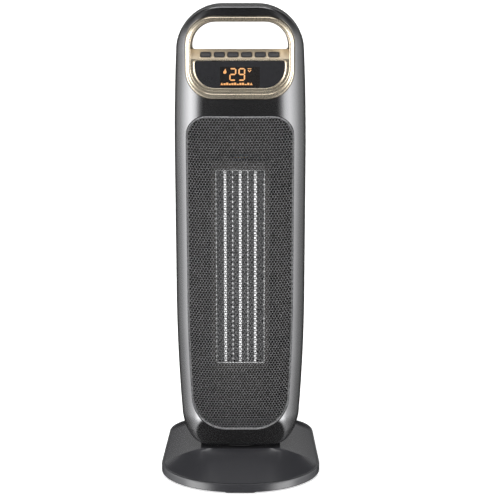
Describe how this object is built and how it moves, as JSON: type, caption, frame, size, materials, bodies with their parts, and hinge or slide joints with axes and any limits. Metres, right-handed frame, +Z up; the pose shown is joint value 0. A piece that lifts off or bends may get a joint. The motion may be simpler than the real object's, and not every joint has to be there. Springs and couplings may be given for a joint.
{
  "type": "ceramic tower space heater",
  "caption": "Tower fan heater with a ceramic heating block behind a fine mesh grille, a gold framed carrying handle with display and push buttons, and a hipped base that lets it swing.",
  "frame": {"origin": "on the floor, on the swivel axis and under the middle of the base", "axes": "+Z up, -Y out of the front where the grille and the display are, +X to the right as seen from the front"},
  "size_m": [0.2, 0.228, 0.585],
  "materials": {
    "base_gloss": "gloss",
    "black_plastic": "satin",
    "rubber": "matt",
    "steel": "plated",
    "nylon": "satin",
    "motor_steel": "satin",
    "body_gloss": "gloss",
    "body_satin": "satin",
    "gold_trim": "satin metallic paint",
    "dark_window": "gloss",
    "lit_segments": "lit",
    "circuit_board": "satin",
    "key_black": "satin",
    "grille_black": "satin",
    "heat_plastic": "matt",
    "aluminium": "satin",
    "ceramic": "matt",
    "ceramic_white": "matt",
    "brass": "satin",
    "galvanised": "satin",
    "relay_blue": "satin",
    "capacitor_sleeve": "gloss",
    "rocker_red": "gloss"
  },
  "bodies": {
    "base": {"base_shell": "base_gloss", "base_plate": "black_plastic", "base_feet": "rubber", "base_screws": "steel", "thrust_washer": "nylon", "ballast_plate": "steel", "swing_motor": "motor_steel", "tip_switch": "nylon", "cord_inlet": "rubber"},
    "pinion": {"swing_pinion": "nylon"},
    "plunger": {"tip_plunger": "nylon"},
    "tower": {"turntable": "black_plastic", "swivel_retainer": "nylon", "swing_gear": "nylon", "front_housing": "body_gloss", "rear_housing": "body_satin", "housing_screws": "steel", "handle_ring": "gold_trim", "handle_liner": "gold_trim", "control_bezel": "gold_trim", "display_window": "dark_window", "display_module": "black_plastic", "display_segments": "lit_segments", "display_board": "circuit_board", "button_board": "circuit_board", "button_switches": "black_plastic", "front_grille": "grille_black", "air_baffle": "heat_plastic", "heater_frame": "heat_plastic", "heater_tubes": "aluminium", "ceramic_stones": "ceramic", "heater_fins": "aluminium", "heater_plates": "aluminium", "heater_terminals": "brass", "heater_brackets": "steel", "thermal_cutout": "ceramic_white", "thermal_fuse": "ceramic_white", "blower_scroll": "galvanised", "blower_motor": "motor_steel", "motor_bracket": "galvanised", "upper_bearing": "brass", "lower_bearing": "brass", "intake_filter": "black_plastic", "power_board": "circuit_board", "board_relays": "relay_blue", "board_capacitors": "capacitor_sleeve", "switch_housing": "black_plastic"},
    "button_1": {"button_1": "key_black"},
    "button_2": {"button_2": "key_black"},
    "button_3": {"button_3": "key_black"},
    "button_4": {"button_4": "key_black"},
    "button_5": {"button_5": "key_black"},
    "button_6": {"button_6": "key_black"},
    "impeller": {"impeller": "aluminium", "impeller_shaft": "steel"},
    "rocker": {"rocker_key": "rocker_red"}
  },
  "joints": [
    {"name": "oscillation", "type": "hinge", "parent": "base", "child": "tower", "pos_m": [0, 0, 0.035], "axis": [0, 0, 1], "range_deg": [-35, 35]},
    {"name": "pinion_spin", "type": "hinge", "parent": "base", "child": "pinion", "pos_m": [0, 0.048, 0.0255], "axis": [0, 0, 1], "range_deg": [-142, 142]},
    {"name": "tip_plunger_travel", "type": "slide", "parent": "base", "child": "plunger", "axis": [0, 0, 1], "range_m": [-0.004, 0], "stiffness_N_per_m": 60, "springref_m": -0.006},
    {"name": "impeller_spin", "type": "hinge", "parent": "tower", "child": "impeller", "pos_m": [0, 0.017, 0.263], "axis": [0, 0, 1], "continuous": true},
    {"name": "rocker_tilt", "type": "hinge", "parent": "tower", "child": "rocker", "pos_m": [0, 0.05, 0.078], "axis": [-1, 0, 0], "range_deg": [0, 16]},
    {"name": "button_1_press", "type": "slide", "parent": "tower", "child": "button_1", "axis": [0, 0.6947, -0.7193], "range_m": [0, 0.0008], "stiffness_N_per_m": 1500, "springref_m": -0.0004},
    {"name": "button_2_press", "type": "slide", "parent": "tower", "child": "button_2", "axis": [0, 0.6947, -0.7193], "range_m": [0, 0.0008], "stiffness_N_per_m": 1500, "springref_m": -0.0004},
    {"name": "button_3_press", "type": "slide", "parent": "tower", "child": "button_3", "axis": [0, 0.6947, -0.7193], "range_m": [0, 0.0008], "stiffness_N_per_m": 1500, "springref_m": -0.0004},
    {"name": "button_4_press", "type": "slide", "parent": "tower", "child": "button_4", "axis": [0, 0.6947, -0.7193], "range_m": [0, 0.0008], "stiffness_N_per_m": 1500, "springref_m": -0.0004},
    {"name": "button_5_press", "type": "slide", "parent": "tower", "child": "button_5", "axis": [0, 0.6947, -0.7193], "range_m": [0, 0.0008], "stiffness_N_per_m": 1500, "springref_m": -0.0004},
    {"name": "button_6_press", "type": "slide", "parent": "tower", "child": "button_6", "axis": [0, 0.6947, -0.7193], "range_m": [0, 0.0008], "stiffness_N_per_m": 1500, "springref_m": -0.0004}
  ],
  "couplings": [
    {"joint": "pinion_spin", "follows": "oscillation", "ratio": -4}
  ]
}
